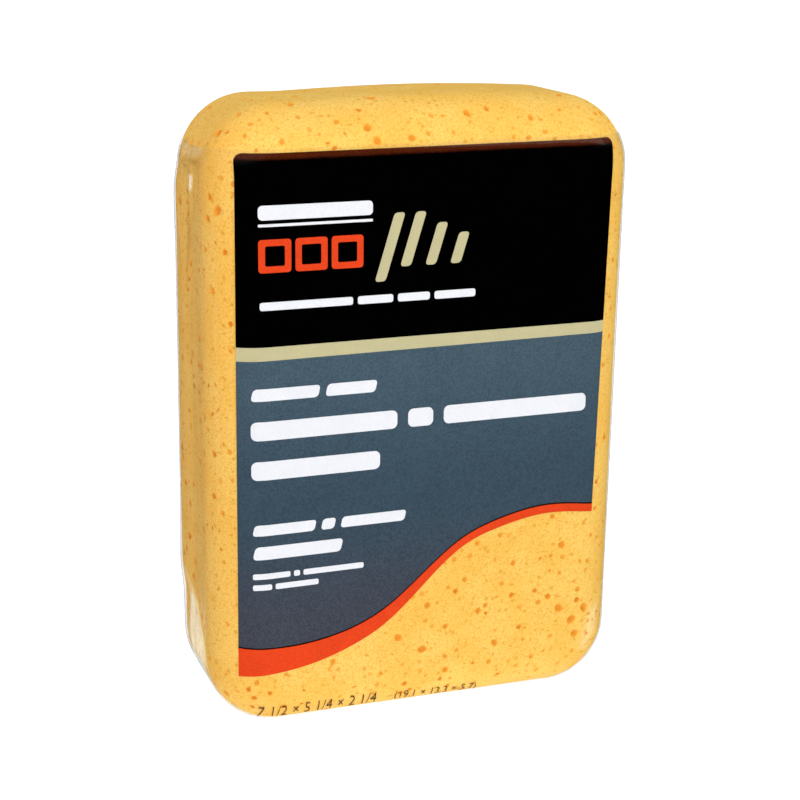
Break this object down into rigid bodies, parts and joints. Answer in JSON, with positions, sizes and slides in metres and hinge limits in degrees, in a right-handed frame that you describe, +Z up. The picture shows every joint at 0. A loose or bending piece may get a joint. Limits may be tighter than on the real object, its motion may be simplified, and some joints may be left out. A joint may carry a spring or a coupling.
{
  "type": "wrapped grouting sponge",
  "caption": "Large foam block sponge with softly rounded edges, in a clear shrink sleeve open at both ends and printed front and back with dark panels over a swoosh.",
  "frame": {"origin": "middle of the foam's lower end, on the surface it stands on", "axes": "+Z up along the longest side, printed front faces -Y, +X to the right of someone facing the front"},
  "size_m": [0.1334, 0.0572, 0.1905],
  "materials": {
    "foam": "open-cell foam, matte",
    "clear_film": "clear, glossy",
    "black_ink": "under clear film",
    "cream_ink": "under clear film",
    "slate_ink": "under clear film",
    "orange_ink": "under clear film",
    "white_ink": "under clear film",
    "brown_ink": "under clear film"
  },
  "bodies": {
    "root": {"sponge_block": "foam", "film_sleeve": "clear_film", "front_black_panel": "black_ink", "front_cream_band": "cream_ink", "front_slate_panel": "slate_ink", "front_orange_swoosh": "orange_ink", "back_black_panel": "black_ink", "back_cream_band": "cream_ink", "back_slate_panel": "slate_ink", "back_orange_swoosh": "orange_ink", "white_marks": "white_ink", "orange_tile_marks": "orange_ink", "cream_stroke_marks": "cream_ink", "size_marks": "brown_ink"}
  },
  "joints": []
}
